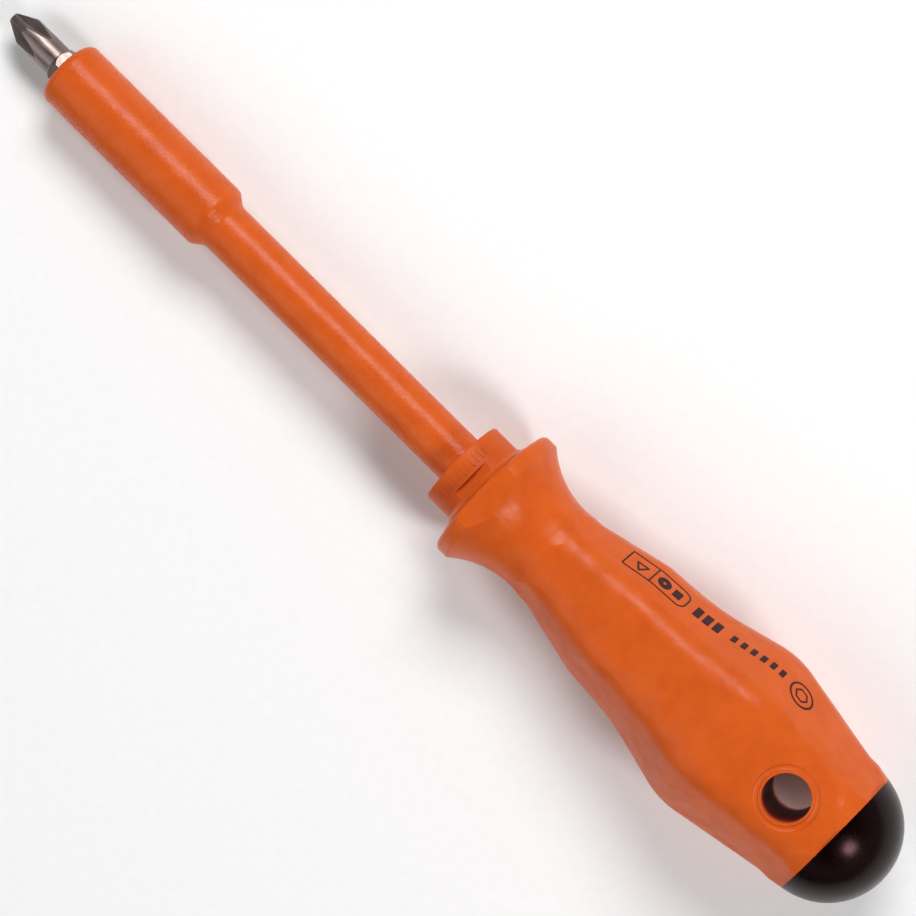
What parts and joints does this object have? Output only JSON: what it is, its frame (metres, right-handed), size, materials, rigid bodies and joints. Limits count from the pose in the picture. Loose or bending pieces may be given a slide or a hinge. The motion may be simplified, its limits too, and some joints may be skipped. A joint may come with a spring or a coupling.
{
  "type": "insulated screwdriver",
  "caption": "Insulated bit-holding screwdriver: cross-recess insert bit in a quarter-inch socket, sleeved blade, faceted grip with hand guard, hang hole and domed end cap.",
  "frame": {"origin": "centre of the hang hole, on the tool's long axis", "axes": "+X along the tool's long axis towards the bit's tip; +Z along the hang hole"},
  "size_m": [0.2274, 0.036, 0.0332],
  "materials": {
    "bit_steel": "satin, ground",
    "spring_steel": "bright drawn",
    "magnet_nickel": "nickel plated",
    "socket_steel": "turned",
    "blade_steel": "drawn bar",
    "insulation_orange": "fine orange-peel",
    "grip_orange": "satin, moulded",
    "core_black": "moulded",
    "cap_black": "gloss, moulded"
  },
  "bodies": {
    "driver": {"retaining_ring": "spring_steel", "magnet": "magnet_nickel", "bit_socket": "socket_steel", "head_sleeve": "insulation_orange", "shaft": "blade_steel", "shank_sleeve": "insulation_orange", "collar": "insulation_orange", "handle_core": "core_black", "grip_shell": "grip_orange", "end_cap": "cap_black"},
    "bit": {"bit": "bit_steel"}
  },
  "joints": [
    {"name": "bit_slide", "type": "slide", "parent": "driver", "child": "bit", "axis": [1, 0, 0], "range_m": [0, 0.012]}
  ]
}
